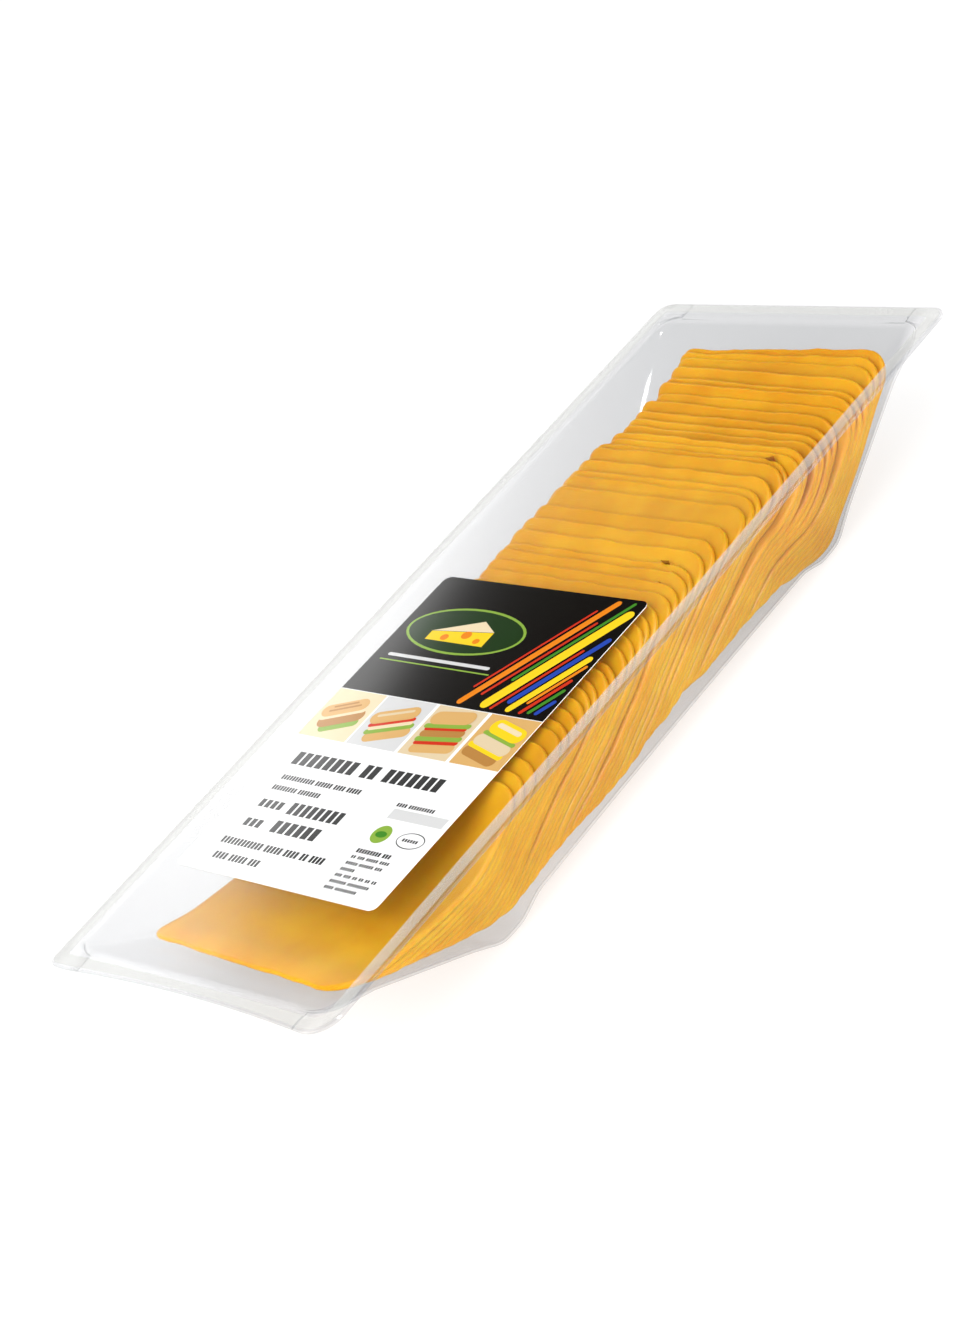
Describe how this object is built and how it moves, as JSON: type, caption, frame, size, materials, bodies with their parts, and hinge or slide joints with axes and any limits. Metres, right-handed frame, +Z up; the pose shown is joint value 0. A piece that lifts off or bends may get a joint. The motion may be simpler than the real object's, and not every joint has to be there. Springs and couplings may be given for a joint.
{
  "type": "pack of sliced cheese",
  "caption": "Clear formed tray with a sealed clear lid film and a paper label, filled with slices of cheese laid like roof tiles.",
  "frame": {"origin": "under the middle of the pack, on the surface that the tray's feet stand on", "axes": "+X along the pack towards the end where the last slice lies against the end wall, +Y across it, +Z up"},
  "size_m": [0.36, 0.134, 0.0447],
  "materials": {
    "tray_plastic": "clear thermoformed sheet, gloss",
    "lid_plastic": "clear film, gloss, milky where it is sealed",
    "label_paper": "coated paper, printed in flat colours, light sheen",
    "cheddar": "sliced orange cheddar, satin, slightly waxy"
  },
  "bodies": {
    "root": {"tray": "tray_plastic", "lid_film": "lid_plastic", "label": "label_paper", "slice_01": "cheddar", "slice_02": "cheddar", "slice_03": "cheddar", "slice_04": "cheddar", "slice_05": "cheddar", "slice_06": "cheddar", "slice_07": "cheddar", "slice_08": "cheddar", "slice_09": "cheddar", "slice_10": "cheddar", "slice_11": "cheddar", "slice_12": "cheddar", "slice_13": "cheddar", "slice_14": "cheddar", "slice_15": "cheddar", "slice_16": "cheddar", "slice_17": "cheddar", "slice_18": "cheddar", "slice_19": "cheddar", "slice_20": "cheddar", "slice_21": "cheddar", "slice_22": "cheddar", "slice_23": "cheddar", "slice_24": "cheddar", "slice_25": "cheddar", "slice_26": "cheddar", "slice_27": "cheddar", "slice_28": "cheddar", "slice_29": "cheddar", "slice_30": "cheddar", "slice_31": "cheddar", "slice_32": "cheddar", "slice_33": "cheddar", "slice_34": "cheddar", "slice_35": "cheddar", "slice_36": "cheddar", "slice_37": "cheddar", "slice_38": "cheddar", "slice_39": "cheddar", "slice_40": "cheddar", "slice_41": "cheddar", "slice_42": "cheddar", "slice_43": "cheddar"}
  },
  "joints": []
}
